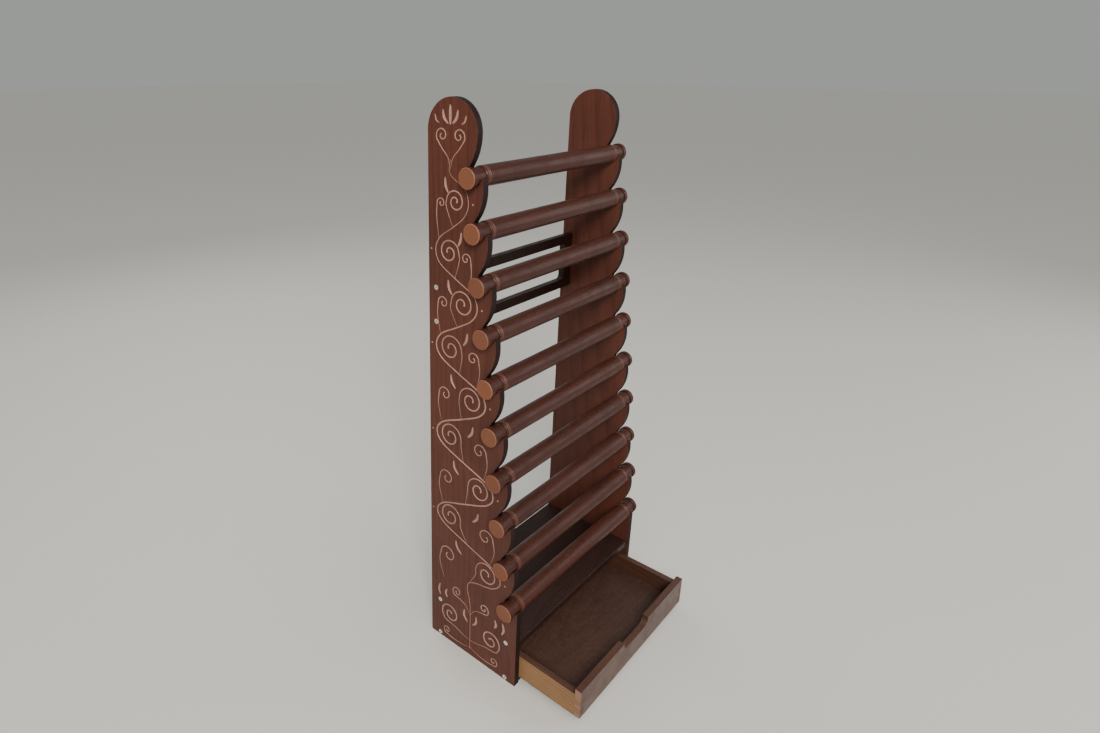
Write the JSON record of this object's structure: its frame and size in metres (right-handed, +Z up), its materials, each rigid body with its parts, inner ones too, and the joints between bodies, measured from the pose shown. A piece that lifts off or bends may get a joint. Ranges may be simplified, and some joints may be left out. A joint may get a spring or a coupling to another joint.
{
  "type": "bracelet display stand",
  "caption": "Tall wooden jewellery stand: scalloped side panels hold lift-out rods for bracelets above a base box with a drawer",
  "frame": {"origin": "on the floor, in the middle of the footprint of the two side panels", "axes": "+Z up, +X to the right, the front faces -Y; the drawer runs along Y"},
  "size_m": [0.426, 0.325, 0.9909],
  "materials": {
    "panel_wood": "reddish-brown stained wood, satin, engraved pale scrolls outside",
    "rod_wood": "dark stained turned wood, satin, pale end grain on the end buttons",
    "dark_wood": "very dark stained wood, matt",
    "drawer_wood": "golden-tan wood outside, dark stain inside and on top edges",
    "screw_steel": "zinc-plated countersunk screws, cross recess"
  },
  "bodies": {
    "stand": {"left_side_panel": "panel_wood", "right_side_panel": "panel_wood", "back_brace": "dark_wood", "base_shelf": "dark_wood", "base_bottom_board": "dark_wood", "base_back_board": "dark_wood", "left_screws": "screw_steel", "right_screws": "screw_steel"},
    "rod_01": {"rod_01": "rod_wood"},
    "rod_02": {"rod_02": "rod_wood"},
    "rod_03": {"rod_03": "rod_wood"},
    "rod_04": {"rod_04": "rod_wood"},
    "rod_05": {"rod_05": "rod_wood"},
    "rod_06": {"rod_06": "rod_wood"},
    "rod_07": {"rod_07": "rod_wood"},
    "rod_08": {"rod_08": "rod_wood"},
    "rod_09": {"rod_09": "rod_wood"},
    "rod_10": {"rod_10": "rod_wood"},
    "drawer": {"drawer_front": "drawer_wood", "drawer_left_side": "drawer_wood", "drawer_right_side": "drawer_wood", "drawer_back": "drawer_wood", "drawer_bottom": "drawer_wood"}
  },
  "joints": [
    {"name": "drawer_slide", "type": "slide", "parent": "stand", "child": "drawer", "axis": [0, 1, 0], "range_m": [-0.045, 0.127]},
    {"name": "rod_01_lift", "type": "slide", "parent": "stand", "child": "rod_01", "axis": [0, -0.5, 0.866], "range_m": [0, 0.07]},
    {"name": "rod_02_lift", "type": "slide", "parent": "stand", "child": "rod_02", "axis": [0, -0.5, 0.866], "range_m": [0, 0.07]},
    {"name": "rod_03_lift", "type": "slide", "parent": "stand", "child": "rod_03", "axis": [0, -0.5, 0.866], "range_m": [0, 0.07]},
    {"name": "rod_04_lift", "type": "slide", "parent": "stand", "child": "rod_04", "axis": [0, -0.5, 0.866], "range_m": [0, 0.07]},
    {"name": "rod_05_lift", "type": "slide", "parent": "stand", "child": "rod_05", "axis": [0, -0.5, 0.866], "range_m": [0, 0.07]},
    {"name": "rod_06_lift", "type": "slide", "parent": "stand", "child": "rod_06", "axis": [0, -0.5, 0.866], "range_m": [0, 0.07]},
    {"name": "rod_07_lift", "type": "slide", "parent": "stand", "child": "rod_07", "axis": [0, -0.5, 0.866], "range_m": [0, 0.07]},
    {"name": "rod_08_lift", "type": "slide", "parent": "stand", "child": "rod_08", "axis": [0, -0.5, 0.866], "range_m": [0, 0.07]},
    {"name": "rod_09_lift", "type": "slide", "parent": "stand", "child": "rod_09", "axis": [0, -0.5, 0.866], "range_m": [0, 0.07]},
    {"name": "rod_10_lift", "type": "slide", "parent": "stand", "child": "rod_10", "axis": [0, -0.5, 0.866], "range_m": [0, 0.07]}
  ]
}
